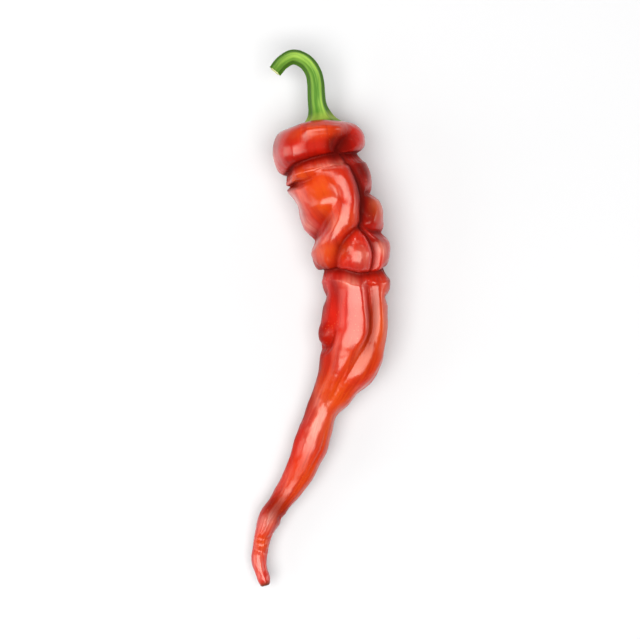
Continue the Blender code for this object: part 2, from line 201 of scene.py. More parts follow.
# Each crease: its half width, how hard it is pinched (0 is a soft valley, 1 a sharp fold), how
# far its upper lip leans over it, and its course as (along, turn, depth).
CREASES = (
    # The lip under the rolled cap, all the way round.
    (5.4, 1.0, 0.9, (
        (18.2, -90, 4.0), (17.4, -64, 4.0), (15.8, -36, 3.8), (15.4, -8, 3.6), (15.4, 18, 4.0),
        (16.5, 45, 4.0), (16.5, 90, 3.6), (17.5, 130, 2.8), (18.5, 180, 2.6), (19.0, 225, 3.2),
        (18.2, 270, 4.0),
    )),
    # The dark hollow that parts the small right lobe from the cap.
    (6.6, 0.5, 0.0, ((4.6, 70, 0.8), (7.5, 56, 3.0), (10.5, 42, 4.4), (13.0, 30, 4.8), (15.6, 22, 3.6))),
    # The pinch on the left, under the neck.
    (3.1, 0.9, 0.6, (
        (22.0, -134, 0.0), (21.2, -110, 2.2), (20.9, -88, 3.0), (21.6, -60, 3.2), (22.4, -38, 2.2),
        (22.4, -20, 1.2), (21.8, -4, 0.2),
    )),
    # Thin pleats on the neck.
    (2.2, 0.7, 0.3, ((20.6, -12, 0.3), (20.2, 3, 1.1), (19.7, 17, 1.2), (19.0, 28, 0.8))),
    (1.8, 0.7, 0.0, ((18.4, -16, 0.3), (18.0, 0, 0.9), (17.6, 14, 0.6))),
    # The long fold between the main roll and the knobs on the right.
    (6.4, 0.7, 0.0, (
        (16.6, 34, 3.2), (23.0, 40, 3.2), (30.0, 43, 4.2), (36.0, 42, 5.0), (41.5, 34, 4.6),
        (45.5, 22, 3.6),
    )),
    # It forks round the middle knob.
    (4.4, 0.8, 0.3, ((45.5, 22, 3.4), (47.0, 6, 3.0), (50.0, -12, 2.8), (55.0, -27, 2.6), (59.4, -36, 2.6))),
    (4.0, 0.8, 0.0, ((45.5, 22, 3.4), (49.3, 32, 3.2), (54.4, 39, 3.2), (58.5, 37, 3.0), (63.0, 28, 3.0))),
    # Between the knobs down the right side, and on round the back.
    (4.8, 0.9, 0.5, (
        (35.6, 44, 2.6), (34.8, 60, 3.0), (35.4, 84, 2.9), (37.0, 110, 2.6), (39.0, 136, 1.4),
    )),
    (4.6, 0.9, 0.5, (
        (45.6, 28, 2.4), (48.6, 43, 3.0), (49.8, 62, 3.2), (50.5, 86, 2.7), (51.0, 112, 2.2),
        (50.0, 140, 0.8),
    )),
    # The hollow across the left flank, above the slanting end of the roll.
    (6.0, 0.4, 0.2, (
        (34.0, 2, 0.2), (37.6, -20, 2.0), (41.0, -44, 2.6), (44.6, -74, 3.4), (46.0, -92, 3.2),
        (48.5, -116, 1.8), (51.0, -142, 1.0),
    )),
    # The waist.
    (5.4, 1.0, 0.9, (
        (60.0, -150, 1.2), (60.6, -118, 2.6), (61.4, -90, 3.8), (60.2, -60, 3.6), (59.8, -36, 3.6),
        (61.0, -16, 3.4), (62.8, 5, 3.6), (63.2, 26, 3.4), (63.4, 46, 3.2), (62.6, 66, 3.4),
        (63.2, 90, 2.9), (62.4, 118, 2.4), (60.0, 150, 1.0),
    )),
    # Below the last knob on the right.
    (4.0, 0.8, 0.3, ((72.8, 54, 0.0), (73.6, 74, 2.0), (74.2, 94, 2.2), (75.5, 124, 0.0))),
    # The soft valley down the lower body.
    (4.4, 0.4, 0.0, (
        (64.0, 20, 1.6), (70.0, 26, 2.2), (76.0, 30, 2.4), (83.0, 36, 2.6), (88.5, 36, 2.4),
        (93.0, 30, 2.0), (97.0, 23, 1.6), (103.0, 16, 1.1), (108.0, 14, 0.7), (116.0, 18, 0.0),
    )),
    # Round the small knob on the left.
    (3.6, 0.6, 0.2, (
        (83.0, -42, 0.0), (87.0, -38, 0.7), (91.0, -38, 1.8), (94.6, -45, 2.5), (96.6, -60, 2.4),
        (97.4, -80, 2.0), (97.0, -108, 0.0),
    )),
    # The narrow place above the tail.
    (6.0, 0.0, 0.0, (
        (121.0, 62, 0.8), (123.5, 90, 0.8), (126.0, 180, 0.3), (127.0, 250, 0.7), (127.0, 300, 0.5),
    )),
    # Small nicks in the tail.
    (2.8, 0.7, 0.3, ((169.0, 24, 0.0), (170.0, 58, 1.0), (170.4, 92, 1.0), (170.0, 130, 0.0))),
    (2.4, 0.7, 0.3, ((182.4, -60, 0.0), (181.4, 0, 0.6), (180.2, 60, 0.7), (180.0, 120, 0.0))),
    (2.4, 0.7, 0.3, ((186.4, -110, 0.0), (186.2, -40, 0.7), (186.6, 20, 0.6), (187.0, 90, 0.0))),
    # Grooves between the lobes of the crown. The cap lies on the two lobes beside the lowest one.
    (9.0, 0.2, 0.0, (
        (1.2, 180, 1.2), (5.0, 180, 2.4), (12.0, 179, 3.0), (20.0, 178, 2.4), (28.0, 176, 1.4),
    )),
    (8.0, 0.1, 0.0, ((1.0, -104, 1.2), (4.0, -106, 1.8), (9.0, -110, 1.4), (14.0, -114, 0.8))),
    (8.0, 0.1, 0.0, ((1.0, 112, 1.2), (4.0, 114, 1.6), (9.0, 116, 1.2), (14.0, 118, 0.6))),
    # Folds on the underside.
    (5.4, 0.9, 0.3, (
        (25.6, -112, 0.0), (28.0, -138, 2.0), (31.0, -162, 2.4), (34.0, -186, 2.2), (37.5, -208, 1.6),
        (39.0, -224, 1.4),
    )),
    (5.0, 0.9, 0.3, ((51.0, -142, 1.0), (50.0, -165, 2.0), (49.0, -190, 1.8), (50.0, -220, 0.8))),
    (6.0, 0.0, 0.0, (
        (66.0, -126, 0.0), (76.0, -132, 1.6), (90.0, -136, 1.6), (104.0, -130, 1.2), (118.0, -120, 0.0),
    )),
    (4.8, 0.8, 0.2, ((76.5, 118, 0.0), (79.0, 142, 1.5), (83.0, 162, 1.4), (88.0, 182, 0.0))),
    (4.8, 0.6, 0.2, ((100.0, 84, 0.0), (103.5, 112, 1.2), (105.0, 138, 1.2), (105.0, 168, 0.0))),
    (4.4, 0.6, 0.2, (
        (70.0, -58, 0.0), (73.0, -76, 1.2), (75.0, -98, 1.6), (75.0, -120, 1.0), (74.0, -138, 0.0),
    )),
)

# Thin pleats, in the same form, where the skin gathers along the larger folds.
PLEATS = (
    # Deep in the pinch on the left.
    (2.4, 0.5, 0.0, ((21.5, -112, 0.0), (21.3, -88, 0.7), (21.9, -62, 1.0), (22.4, -44, 0.0))),
    # Fanning out of the pinch on the left.
    (1.3, 0.8, 0.2, ((23.6, -104, 0.0), (23.0, -84, 0.7), (23.4, -66, 0.8), (24.4, -50, 0.0))),
    (1.2, 0.8, 0.2, (
        (19.9, -98, 0.0), (19.4, -78, 0.6), (19.2, -58, 0.7), (19.6, -38, 0.5), (20.6, -20, 0.0),
    )),
    (1.1, 0.8, 0.0, ((21.2, -48, 0.0), (20.6, -30, 0.5), (20.4, -14, 0.0))),
    # Gathered on the neck, under the middle of the cap.
    (1.2, 0.8, 0.0, ((17.6, 20, 0.0), (18.6, 26, 0.6), (19.8, 34, 0.6), (21.0, 40, 0.0))),
    (1.1, 0.8, 0.0, ((22.0, 4, 0.0), (21.6, 14, 0.5), (21.4, 26, 0.4), (21.6, 34, 0.0))),
    # Down the dark fold.
    (1.2, 0.8, 0.0, ((24.0, 34, 0.0), (27.0, 37, 0.6), (31.0, 38, 0.7), (35.0, 36, 0.0))),
    (1.2, 0.8, 0.0, ((27.0, 50, 0.0), (30.0, 52, 0.6), (33.0, 52, 0.0))),
    # Over the end of the roll and into the waist.
    (1.3, 0.8, 0.2, ((55.0, -90, 0.0), (56.0, -74, 0.6), (57.2, -60, 0.7), (58.6, -48, 0.0))),
    # Between the knobs.
    (1.2, 0.8, 0.0, ((37.2, 56, 0.0), (38.0, 68, 0.6), (38.0, 82, 0.0))),
    (1.2, 0.8, 0.0, ((52.2, 52, 0.0), (52.8, 64, 0.6), (52.8, 78, 0.0))),
    (1.1, 0.8, 0.0, ((60.4, 50, 0.0), (60.2, 62, 0.5), (60.6, 76, 0.0))),
    (1.2, 0.8, 0.0, ((51.4, 2, 0.0), (52.6, 20, 0.5), (54.6, 28, 0.0))),
    # At the small knob on the left, and at the narrow place.
    (1.6, 0.6, 0.0, ((93.0, -34, 0.0), (96.4, -40, 0.5), (99.6, -52, 0.4), (101.0, -70, 0.0))),
    (1.4, 0.6, 0.0, ((98.0, 8, 0.0), (104.0, 3, 0.4), (112.0, 3, 0.4), (120.0, 8, 0.0))),
    # Down the tail.
    (1.4, 0.5, 0.0, ((128.0, 34, 0.0), (137.0, 38, 0.4), (147.0, 34, 0.4), (156.0, 30, 0.0))),
    (1.2, 0.5, 0.0, ((150.0, -44, 0.0), (160.0, -40, 0.4), (168.0, -44, 0.0))),
    (1.0, 0.6, 0.0, ((171.0, -20, 0.0), (175.0, -12, 0.4), (180.0, -16, 0.0))),
    (0.9, 0.6, 0.0, ((188.0, 30, 0.0), (192.0, 36, 0.35), (197.0, 30, 0.0))),
)

# Each ridge: its half width, and its course as (along, turn, height).
RIDGES = (
    # The main roll, down the front and round to the left above the waist.
    (8.0, (
        (18.0, 14, 0.3), (24.0, 25, 1.8), (30.0, 31, 2.4), (36.0, 27, 2.4), (41.0, 13, 2.2),
        (45.5, -10, 2.0), (50.0, -30, 2.0), (53.5, -52, 2.0), (55.0, -80, 1.6), (56.0, -104, 0.6),
    )),
    # The left flank, under the pinch.
    (7.5, ((21.5, -84, 1.0), (25.0, -72, 0.6), (30.0, -58, 0.6), (35.0, -56, 0.0))),
    # The thin rim round the front of the crown.
    (1.6, ((4.0, -16, 0.0), (4.3, -6, 0.45), (4.5, 12, 0.6), (4.7, 28, 0.5), (5.3, 46, 0.0))),
    # The two long crests of the lower body.
    (10.0, (
        (64.5, -2, 0.8), (73.0, 2, 1.1), (81.0, 8, 1.3), (87.0, 11, 1.4), (94.0, 1, 1.2),
        (102.0, -9, 0.9), (111.0, -13, 0.5), (119.0, -12, 0.0),
    )),
    (6.0, (
        (67.0, 52, 0.8), (77.0, 58, 1.3), (86.0, 57, 1.4), (93.0, 49, 1.4), (100.0, 40, 1.2),
        (108.0, 33, 0.9), (117.0, 32, 0.3),
    )),
)

# Each swell: along, turn, half length, half width and height.
SWELLS = (
    # The cap's left shoulder and the slope from there to the hollow.
    (12.0, -60, 8.5, 15.0, 0.9),
    (11.5, -38, 6.5, 6.5, 1.3),
    (11.0, 2, 7.0, 8.0, -0.8),
    # The orange swell on the front of the upper body.
    (34.5, -13, 5.0, 4.5, 0.7),
    (27.0, -12, 5.0, 6.0, -0.5),
    # The front of the crown and the cap's small right lobe.
    (2.0, 0, 4.5, 8.0, 1.8),
    (9.0, 84, 6.0, 6.0, 0.9),
    # The slant of the left flank, down from the pinch.
    (29.0, -86, 5.5, 10.0, -1.8),
    # The two lobes under the cap.
    (10.5, 144, 8.0, 7.0, 1.8),
    (11.0, -144, 8.0, 7.0, 1.8),
    # Four knobs down the right and one in the middle.
    (27.0, 74, 5.5, 6.0, 0.5),
    (43.0, 69, 5.0, 6.0, 1.2),
    (56.5, 66, 4.5, 5.5, 1.2),
    (68.5, 68, 4.5, 5.0, 1.2),
    (56.0, 9, 5.0, 5.5, 1.9),
    # The small knob on the left of the lower body, and the low place that the body lies on.
    (90.6, -62, 5.0, 4.2, 1.6),
    (89.0, -163, 10.0, 6.0, 1.0),
    # The hip on the right, where the lower body narrows.
    (99.5, 82, 11.5, 8.0, 3.1),
    # Where the left crest runs out.
    (99.0, -8, 5.5, 4.5, 0.5),
    # Beads down the tail.
    (136.0, -10, 9.0, 6.0, 0.3),
    (176.0, 10, 4.0, 3.5, 0.4),
    (184.2, 0, 1.8, 2.6, 0.3),
    (191.0, -20, 3.5, 2.6, 0.3),
)
# How flat the ridges and the swells are on top, and how soon a spot fades from its middle.
RIDGE_FLATNESS = 4.0
SWELL_FLATNESS = 1.35
SPOT_FADE = 1.2
# How close a crease's points lie, how round its bottom is and how steep a pinch is. Where
# creases meet, a higher power keeps the skin closer to the deepest one.
CREASE_STEP = 0.7 * MM
CREASE_ROUND = 0.25 * MM
PINCH_STEEPNESS = 2.4
MEETING_POWER = 4
# The slight unevenness of the skin, with this many ripples of each length.
RIPPLE_HEIGHT = 0.22 * MM
RIPPLE_LENGTHS = (11.0 * MM, 14.0 * MM, 18.0 * MM, 24.0 * MM, 32.0 * MM)
RIPPLES_EACH = 2
RIPPLE_SEED = 7

# The mesh, and in how many steps a place is looked up.
POD_RINGS = 400
POD_SIDES = 238
LOOK_UP_STEPS = 1200
# The skin's grain is laid out as on a straight round pod of this radius.
GRAIN_RADIUS = 12.0 * MM
# The painted shade in a crease is darkest from this depth and this pinch on, and a soft crease gets this
# share of it.
DARK_DEPTH = 3.4 * MM
DARK_PINCH = 0.7
SOFT_DARKNESS = 0.4
# The depth at which the painted shade in a pleat is darkest, and the gathering that gives the deepest
# wrinkles.
DARK_PLEAT = 1.0 * MM
FULL_GATHER = 1.6 * MM
# Where the green inside the crown ends and the brown tip starts, and how far each fades.
CROWN_GREEN_ENDS, CROWN_GREEN_FADES = 11.5 * MM, 2.5 * MM
TIP_BROWN_STARTS, TIP_BROWN_FADES = 199.6 * MM, 1.8 * MM


def smooth(points, at, where):
    """Points of a smooth curve through the rows of points, which lie at the distances at."""
    slope = np.gradient(points, at, axis=0)
    i = np.clip(np.searchsorted(at, where, side="right") - 1, 0, len(at) - 2)
    step = (at[i + 1] - at[i])[:, None]
    u = (where - at[i])[:, None] / step
    return (
        (2 * u**3 - 3 * u**2 + 1) * points[i]
        + (u**3 - 2 * u**2 + u) * step * slope[i]
        + (3 * u**2 - 2 * u**3) * points[i + 1]
        + (u**3 - u**2) * step * slope[i + 1]
    )


def distances(points):
    """How far along its own polyline each point lies."""
    return np.concatenate(([0.0], np.cumsum(np.linalg.norm(np.diff(points, axis=0), axis=1))))


def unit(vectors):
    return vectors / np.linalg.norm(vectors, axis=1)[:, None]


def route_frame(route, along):
    """Place, tangent, up and side of a route at the distances along."""
    at = distances(route)
    reach = 3.0 * MM
    place = smooth(route, at, np.clip(along, 0.0, at[-1]))
    ahead = smooth(route, at, np.clip(along + reach, 0.0, at[-1]))
    behind = smooth(route, at, np.clip(along - reach, 0.0, at[-1]))
    tangent = unit(ahead - behind)
    up = unit(np.array((0.0, 0.0, 1.0)) - tangent[:, 2:3] * tangent)
    side = np.cross(up, tangent)
    return place, tangent, up, side


def smooth_pod(station, turn):
    """The pod before its folds. A station is a distance along the turned outline from the crown."""
    at = distances(POD_GIRTH)
    along, radius = smooth(POD_GIRTH, at, station).T
    bit = 0.1 * MM
    rise, widen = unit(smooth(POD_GIRTH, at, station + bit) - smooth(POD_GIRTH, at, station - bit)).T
    place, tangent, up, side = route_frame(POD_ROUTE, along)
    out = np.cos(turn)[:, None] * up + np.sin(turn)[:, None] * side
    shift = DISH_SHIFT * np.clip(1.0 - station / DISH_REACH, 0.0, 1.0) ** 2
    point = place + radius[:, None] * out + shift[:, None] * side
    normal = rise[:, None] * out - widen[:, None] * tangent
    return point, normal, tangent


def place_on_pod(along, turn):
    """Where the places (along, turn) lie, outside the crown's rim."""
    at = distances(POD_GIRTH)
    fine = np.linspace(at[RIM_ROW], at[-1], LOOK_UP_STEPS)
    station = np.interp(np.atleast_1d(along), smooth(POD_GIRTH, at, fine)[:, 0], fine)
    return smooth_pod(station, np.atleast_1d(turn))


def fold_line(course):
    """A fold's course as close-set points on the skin, each with its depth."""
    course = np.array(course) * (MM, math.pi / 180.0, MM)
    knots = place_on_pod(course[:, 0], course[:, 1])[0]
    at = distances(knots)
    where = np.linspace(0.0, at[-1], max(2, round(at[-1] / CREASE_STEP)))
    along, turn, depth = smooth(course, at, where).T
    return place_on_pod(along, turn)[0], np.maximum(depth, 0.0)


def close_points(points, line, reach):
    """Which points lie near the line, how far from it, and which of its points is nearest."""
    inside = np.all((points > line.min(axis=0) - reach) & (points < line.max(axis=0) + reach), axis=1)
    near = np.flatnonzero(inside)
    apart = np.linalg.norm(points[near][:, None, :] - line[None, :, :], axis=2)
    which = np.argmin(apart, axis=1)
    return near, apart[np.arange(len(near)), which], which


def crease_depth(points, creases):
    """How far creases press each point in and draw it down, how they gather it, and how much painted shade
    they lay on it.
    """
    press, draw, gather, crease_shade = np.zeros((4, len(points)))
    for half_width, pinch, lean, course in creases:
        line, depth = fold_line(course)
        near, apart, which = close_points(points, line, half_width * MM)
        u = np.minimum(np.hypot(apart, CREASE_ROUND) / (half_width * MM), 1.0)
        shape = (1.0 - pinch) * (1.0 - u**2) ** 2 + pinch * (1.0 - u) ** PINCH_STEEPNESS
        # How much of its depth a crease gives as painted shade: a sharp pinch gives all of it.
        shade_share = min(1.0, SOFT_DARKNESS + (1.0 - SOFT_DARKNESS) * pinch / DARK_PINCH)
        deep = depth[which]
        press[near] += (deep * shape) ** MEETING_POWER
        crease_shade[near] += (deep * shape * shade_share) ** MEETING_POWER
        draw[near] += lean * deep * (1.0 - shape) * (1.0 - u)
        gather[near] = np.maximum(gather[near], pinch * deep * (1.0 - u))
    return press ** (1.0 / MEETING_POWER), draw, gather, crease_shade ** (1.0 / MEETING_POWER)


def soft_spot(points, along, turn, half_length, half_width, flatness=1.0):
    """1 in the middle of a spot on the skin, fading to 0 round it. Lengths are in mm."""
    centre, _, tangent = place_on_pod(along * MM, math.radians(turn))
    apart = points - centre
    lengthwise = apart @ tangent[0]
    across = np.sqrt(np.maximum(np.sum(apart**2, axis=1) - lengthwise**2, 0.0))
    away = (lengthwise / (half_length * MM)) ** 2 + (across / (half_width * MM)) ** 2
    return np.exp(-SPOT_FADE * away**flatness)


def swell_height(points):
    """How far the ridges and swells lift each point."""
    lift = np.zeros(len(points))
    for half_width, course in RIDGES:
        line, height = fold_line(course)
        near, apart, which = close_points(points, line, half_width * MM)
        u = np.minimum(apart / (half_width * MM), 1.0)
        lift[near] = np.maximum(lift[near], height[which] * (1.0 - u**RIDGE_FLATNESS) ** 2)
    for *spot, height in SWELLS:
        lift += height * MM * soft_spot(points, *spot, flatness=SWELL_FLATNESS)
    return lift


def ripple_height(points):
    """The slight unevenness of a grown skin."""
    rng = np.random.default_rng(RIPPLE_SEED)
    height = np.zeros(len(points))
    for length in RIPPLE_LENGTHS:
        for _ in range(RIPPLES_EACH):
            heading = unit(rng.normal(size=(1, 3)))[0]
            height += np.sin(points @ heading * (2.0 * math.pi / length) + rng.uniform(0.0, 2.0 * math.pi))
    return RIPPLE_HEIGHT * height / math.sqrt(len(RIPPLE_LENGTHS))


def one_per_point(rows):
    """The rows as one list, with one entry each for the first and the last row."""
    return np.concatenate((rows[0, :1], rows[1:-1].reshape(-1, *rows.shape[2:]), rows[-1, :1]))


def ring_mesh(name, rings):
    """A closed mesh from rows of points. The first and last rows each stand for one point."""
    count, sides = rings.shape[0] - 2, rings.shape[1]
    last = 1 + count * sides

    def at(ring, side):
        return 1 + ring * sides + side % sides

    faces = []
    for side in range(sides):
        faces.append((0, at(0, side), at(0, side + 1)))
        for ring in range(count - 1):
            faces.append((at(ring, side), at(ring + 1, side), at(ring + 1, side + 1), at(ring, side + 1)))
        faces.append((at(count - 1, side), last, at(count - 1, side + 1)))
    mesh = bpy.data.meshes.new(name)
    mesh.from_pydata(one_per_point(rings).tolist(), [], faces)
    mesh.shade_smooth()
    return mesh


def keep_attribute(mesh, name, rows):
    """Stores a number or a vector for each point of a ring mesh, for its material to read."""
    values = one_per_point(rows)
    kind, field = ("FLOAT_VECTOR", "vector") if values.ndim == 2 else ("FLOAT", "value")
    mesh.attributes.new(name, kind, "POINT").data.foreach_set(field, values.astype(np.float32).ravel())


station = np.linspace(0.0, distances(POD_GIRTH)[-1], POD_RINGS + 2)
turn = np.linspace(0.0, 2.0 * math.pi, POD_SIDES, endpoint=False)
grid = (POD_RINGS + 2, POD_SIDES)
stations, turns = (x.ravel() for x in np.meshgrid(station, turn, indexing="ij"))
base, normal, tangent = smooth_pod(stations, turns)
press, draw, gather, crease_shade = crease_depth(base, CREASES)
pleat = crease_depth(base, PLEATS)[0]
rise = swell_height(base) + ripple_height(base) - press - pleat
skin = base + rise[:, None] * normal + draw[:, None] * tangent
skin[:, 2] = np.maximum(skin[:, 2], 0.0)

# Patches of colour and of wax: along, turn, half length, half width and strength.

# Orange ones, where the skin is stretched and ripens last, and deep crimson ones, which are partly the
# skin's own deeper red and partly painted shade in hollows, beside folds, underneath and along the left
# edge.
ORANGE_SPOTS = (
    (5.0, 2, 3.0, 13.0, 0.75),
    (19.6, -34, 3.5, 12.0, 1.0),
    (28.0, -14, 9.0, 9.0, 1.0),
    (34.0, -22, 7.0, 7.0, 0.9),
    (42.0, -2, 6.0, 7.0, 0.8),
    (51.5, -38, 5.0, 10.0, 0.9),
    (42.5, 67, 5.0, 4.5, 1.0),
    (84.0, 66, 20.0, 9.0, 1.2),
    (98.0, 26, 12.0, 10.0, 0.9),
    (114.0, 10, 12.0, 12.0, 1.0),
    (128.0, 60, 14.0, 8.0, 1.0),
    (152.0, 40, 16.0, 8.0, 0.9),
    (183.0, 8, 5.0, 4.0, 0.9),
    (152.0, -150, 22.0, 9.0, 0.5),
    (100.0, 170, 24.0, 14.0, 0.5),
    (32.0, 160, 12.0, 14.0, 0.5),
)
CRIMSON_AND_SHADE_SPOTS = (
    # The cap, with painted shade in its hollow and on its underside.
    (6.5, -74, 6.0, 9.0, 0.8),
    (14.0, -24, 2.6, 16.0, 0.8),
    (12.2, 30, 5.2, 8.0, 2.1),
    (12.0, 150, 9.0, 12.0, 0.5),
    # Beside the long fold and on the knobs: partly deeper red, partly painted shade.
    (26.0, 58, 8.0, 7.0, 1.5),
    (38.0, 43, 11.0, 5.2, 2.0),
    (38.5, 50, 8.0, 3.4, 2.2),
    (52.0, 46, 4.0, 3.5, 1.0),
    (52.0, -14, 4.0, 3.5, 0.9),
    (40.0, -26, 3.5, 4.5, 0.5),
    (58.5, -58, 3.5, 10.0, 1.0),
    (22.0, -64, 2.6, 12.0, 1.2),
    # The lower body and tail: painted shade along the left edge, round the small knob, in the valley and
    # underneath.
    (69.0, -40, 8.0, 4.0, 0.8),
    (90.6, -62, 7.0, 6.0, 1.0),
    (82.0, 34, 14.0, 3.0, 1.0),
    (66.0, 80, 7.0, 4.5, 1.3),
    (66.0, -160, 12.0, 14.0, 0.6),
    (78.0, -74, 9.0, 4.5, 1.0),
    (106.0, -72, 12.0, 4.5, 1.0),
    (122.0, -84, 18.0, 6.0, 0.9),
    (167.0, 0, 8.0, 8.0, 1.3),
)
# Dull ones, where the wax is thin.
DULL_SPOTS = (
    (11.0, 6, 5.0, 9.0, 2.0),
    (25.5, -13, 5.0, 6.5, 1.5),
    (80.0, -42, 17.0, 5.0, 1.2),
    (84.0, -84, 22.0, 6.0, 1.2),
    (122.0, -84, 20.0, 5.0, 1.2),
    (104.0, -50, 14.0, 6.0, 1.5),
    (98.0, 51, 8.0, 4.0, 0.7),
    (142.0, -62, 18.0, 3.5, 1.2),
    (37.0, -16, 3.5, 6.0, 0.6),
    (54.0, -8, 4.0, 5.0, 0.5),
    (90.6, -62, 6.0, 6.0, 0.7),
    (112.0, 2, 7.0, 10.0, 0.75),
    (148.0, -4, 12.0, 8.0, 0.8),
    (165.0, 0, 7.0, 8.0, 0.6),
    (180.0, 0, 7.0, 4.0, 0.5),
)
# Painted highlights: pale pink patches in the colour where the skin faces the lights.
PAINTED_HIGHLIGHT_SPOTS = (
    (19.5, 16, 2.2, 5.0, 0.7),
    (28.5, -62, 6.5, 4.6, 0.8),
    (38.0, -64, 5.0, 3.6, 0.8),
    (40.5, 63, 4.5, 2.4, 0.35),
    (56.0, 12, 4.0, 2.8, 0.5),
    (55.5, 54, 3.5, 2.4, 0.6),
    (65.5, -10, 3.0, 4.5, 0.7),
    (131.0, -6, 12.0, 3.2, 0.4),
    (174.0, 6, 4.5, 3.0, 0.5),
    (192.0, 0, 7.0, 2.6, 0.4),
    (12.0, -84, 5.0, 3.0, 0.6),
)


def patches(points, spots):
    """How strongly the spots colour each point."""
    strength = np.zeros(len(points))
    for *spot, most in spots:
        strength = np.maximum(strength, most * soft_spot(points, *spot))
    return strength


along_pod = smooth(POD_GIRTH, distances(POD_GIRTH), stations)[:, 0]
pod_mesh = ring_mesh("pod", skin.reshape(*grid, 3))
keep_attribute(pod_mesh, "grain", np.stack((
    GRAIN_RADIUS * np.cos(turns), GRAIN_RADIUS * np.sin(turns), along_pod,
), axis=1).reshape(*grid, 3))
# The fold attribute is how deep and sharp the creases and pleats are: the material paints shade in the folds
# with it, and thins the wax there.
for name, strength in (
    ("fold", np.maximum(crease_shade / DARK_DEPTH, pleat / DARK_PLEAT)),
    ("gather", gather / FULL_GATHER),
    ("crown", (CROWN_GREEN_ENDS - stations) / CROWN_GREEN_FADES),
    ("tip", (along_pod - TIP_BROWN_STARTS) / TIP_BROWN_FADES),
):
    keep_attribute(pod_mesh, name, np.clip(strength, 0.0, 1.0).reshape(grid))
for name, spots in (
    ("orange", ORANGE_SPOTS), ("crimson", CRIMSON_AND_SHADE_SPOTS), ("dull", DULL_SPOTS), ("bloom", PAINTED_HIGHLIGHT_SPOTS),
):
    keep_attribute(pod_mesh, name, patches(base, spots).reshape(grid))

# The skin's colours, from its scarlet to the maroon of the painted shade in its deepest folds and hollows,
# with the pale pink of its painted highlights.
SCARLET = (0.45, 0.0072, 0.0019)
CRIMSON = (0.21, 0.0026, 0.0011)
ORANGE_RED = (0.48, 0.052, 0.0024)
SHADE_MAROON = (0.085, 0.0013, 0.0009)
PALE_FLECK = (0.62, 0.12, 0.045)
HIGHLIGHT_PINK = (0.66, 0.25, 0.19)
CROWN_GREEN = (0.32, 0.15, 0.020)
TIP_BROWN = (0.10, 0.022, 0.008)
# The streaks that its growth left: how wide and how long, and a seed.
BROAD_STREAKS = (7.0 * MM, 26.0 * MM, 3.0)
MIDDLE_STREAKS = (2.2 * MM, 22.0 * MM, 11.0)
HAIRLINES = (0.7 * MM, 12.0 * MM, 19.0)


def calculate(tree, operation, *values):
    return add_node(tree, "ShaderNodeMath", dict(enumerate(values)), operation=operation).outputs[0]


def product(tree, first, *others):
    for value in others:
        first = calculate(tree, "MULTIPLY", first, value)
    return first


def vector_math(tree, operation, *values, **more):
    sockets = {**dict(enumerate(values)), **more}
    node = add_node(tree, "ShaderNodeVectorMath", sockets, operation=operation)
    return node.outputs["Value" if operation == "DOT_PRODUCT" else "Vector"]


def long_noise(tree, grain, width, length, seed, **more):
    """Noise drawn out along the grain, with cells of this width and length."""
    size = add_node(tree, "ShaderNodeCombineXYZ", {0: width, 1: width, 2: length}).outputs[0]
    sockets = {"Vector": vector_math(tree, "DIVIDE", grain, size), "W": seed, "Scale": 1.0, **more}
    return add_node(tree, "ShaderNodeTexNoise", sockets, noise_dimensions="4D").outputs["Fac"]


def new_tree(kind, title, output=("Geometry", "Geometry"), **inputs):
    """A new node tree with one output, a name and a kind, and the named inputs of each kind."""
    group = bpy.data.node_groups.new(title, kind)
    group.interface.new_socket(output[0], in_out="OUTPUT", socket_type="NodeSocket" + output[1])
    for socket_kind, names in inputs.items():
        for name in names:
            group.interface.new_socket(name, in_out="INPUT", socket_type="NodeSocket" + socket_kind)
    return group, group.nodes.new("NodeGroupInput").outputs


def growth_streaks():
    """A shader group: streaks that run the length of a grown thing, of a given width and length."""
    group, given = new_tree(
        "ShaderNodeTree", "growth streaks", ("Streak", "Float"), Vector=("Grain",),
        Float=("Width", "Length", "Seed"),
    )
    noise = long_noise(
        group, given["Grain"], given["Width"], given["Length"], given["Seed"], Detail=3.0, Roughness=0.55
    )
    add_node(group, "NodeGroupOutput", {0: spread(group, noise, 0.32, 0.68)})
    return group


STREAKS = growth_streaks()


def streaks(tree, grain, width, length, seed):
    sockets = {"Grain": grain, "Width": width, "Length": length, "Seed": seed}
    return add_node(tree, "ShaderNodeGroup", sockets, node_tree=STREAKS).outputs["Streak"]


def read_attribute(tree, name, output="Fac"):
    return add_node(tree, "ShaderNodeAttribute", attribute_name=name).outputs[output]


def layer_colours(tree, colour, layers):
    """A ground colour with layers over it. Each is how strongly it covers, and its colour."""
    for share, paint in layers:
        colour = mix_colour(tree, share, colour, paint)
    return colour


pod_skin, tree, shader = new_material("waxy red skin")
grain = read_attribute(tree, "grain", "Vector")
place = add_node(tree, "ShaderNodeTexCoord").outputs["Object"]
fold = read_attribute(tree, "fold")
broad = streaks(tree, grain, *BROAD_STREAKS)
middle = streaks(tree, grain, *MIDDLE_STREAKS)
hairline = streaks(tree, grain, *HAIRLINES)
# Deep crimson: partly the skin's own deeper red, partly painted shade in its hollows and folds, with broad
# streaks over it.
crimson_and_shade_patch = read_attribute(tree, "crimson")
crimson = calculate(tree, "ADD", crimson_and_shade_patch, spread(tree, broad, 0.5, 1.0, 0.0, 0.45))
orange = product(tree, read_attribute(tree, "orange"), spread(tree, middle, 0.0, 1.0, 1.0, 0.55))
flecks = add_node(tree, "ShaderNodeTexVoronoi", {"Vector": place, "Scale": 620.0}).outputs["Distance"]
fleck = product(tree, spread(tree, flecks, 0.10, 0.22, 0.28, 0.0), spread(tree, broad, 0.2, 0.9, 1.0, 0.0))
